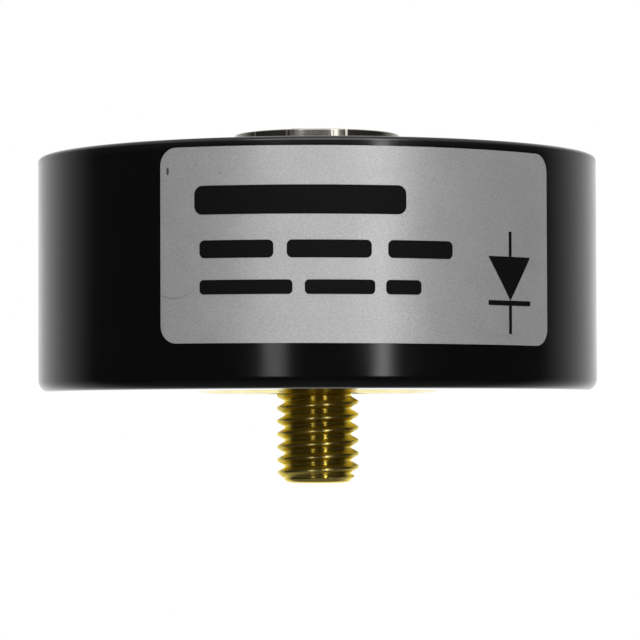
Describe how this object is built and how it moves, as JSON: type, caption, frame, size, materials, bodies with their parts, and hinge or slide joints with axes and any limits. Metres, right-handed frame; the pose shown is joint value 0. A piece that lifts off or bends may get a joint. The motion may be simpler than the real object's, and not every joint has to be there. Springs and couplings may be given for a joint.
{
  "type": "power diode",
  "caption": "Round potted power diode with a threaded stud below, a tapped terminal bush on top and a wrapped label.",
  "frame": {"origin": "on the diode's axis, in the plane of the base's seating face, where the stud enters the base", "axes": "+Z along the axis from the stud to the terminal bush, the label faces -Y"},
  "size_m": [0.054, 0.0542, 0.0338],
  "materials": {
    "case": "glossy black moulding",
    "epoxy": "black cast epoxy with a meniscus",
    "label": "satin grey polyester film with dark print",
    "brass": "bright turned brass",
    "nickel_plating": "bright nickel plating on turned brass",
    "molybdenum": "dull grey metal",
    "silicon": "dark polished silicon",
    "silicone_rubber": "pale cast rubber",
    "copper": "bare copper",
    "silicone_gel": "clear soft gel"
  },
  "bodies": {
    "root": {"case": "case", "epoxy_potting": "epoxy", "label": "label", "base_electrode": "brass", "threaded_stud": "brass", "terminal_bush": "nickel_plating", "lower_molybdenum_disc": "molybdenum", "middle_molybdenum_disc": "molybdenum", "upper_molybdenum_disc": "molybdenum", "lower_diode_chip": "silicon", "upper_diode_chip": "silicon", "lower_chip_edge_ring": "silicone_rubber", "upper_chip_edge_ring": "silicone_rubber", "contact_cap": "copper", "strain_relief_strap": "copper", "silicone_gel": "silicone_gel"}
  },
  "joints": []
}
